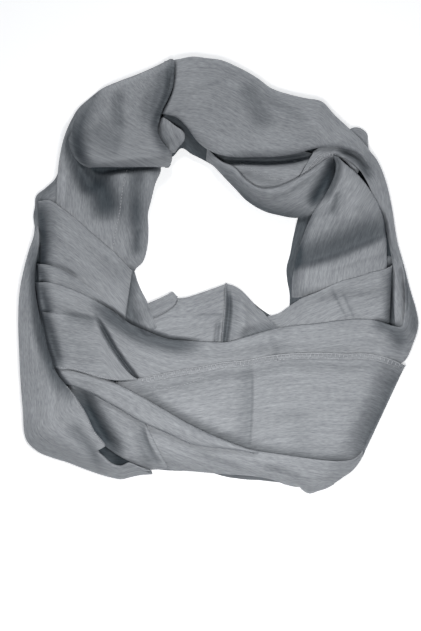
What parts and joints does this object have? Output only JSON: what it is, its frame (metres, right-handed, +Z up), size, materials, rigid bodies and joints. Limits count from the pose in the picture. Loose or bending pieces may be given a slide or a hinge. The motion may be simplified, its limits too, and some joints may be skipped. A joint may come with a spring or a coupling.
{
  "type": "wound chiffon scarf",
  "caption": "Plain chiffon loop scarf wound into a soft ring and laid flat, its folds lying over each other around an open middle.",
  "frame": {"origin": "middle of the ring's bounding box, on the surface it lies on", "axes": "+Z up from the surface; +X to the right and +Y away from the stitched panel, as the ring is seen from above"},
  "size_m": [0.4015, 0.44, 0.0399],
  "materials": {
    "chiffon": "satin-faced crinkled chiffon, dusty blue-grey"
  },
  "bodies": {
    "root": {"core": "chiffon", "right_inner_strip": "chiffon", "left_back_fold": "chiffon", "corner_ear": "chiffon", "bottom_tip": "chiffon", "top_under_fold": "chiffon", "gap_flap": "chiffon", "left_drop": "chiffon", "seam_tuck": "chiffon", "hollow_fold": "chiffon", "right_outer_strip": "chiffon", "hammock_fold": "chiffon", "top_right_band": "chiffon", "top_cap": "chiffon", "right_lobe": "chiffon", "inner_peak_left": "chiffon", "inner_peak_fold": "chiffon", "cross_band": "chiffon", "inner_peak_right": "chiffon", "inner_flap": "chiffon", "left_band_upper": "chiffon", "left_band_lower": "chiffon", "front_band": "chiffon", "hem_panel": "chiffon", "bottom_band": "chiffon", "lower_band": "chiffon", "lower_roll": "chiffon", "front_band_left": "chiffon", "left_outer_band": "chiffon"}
  },
  "joints": []
}
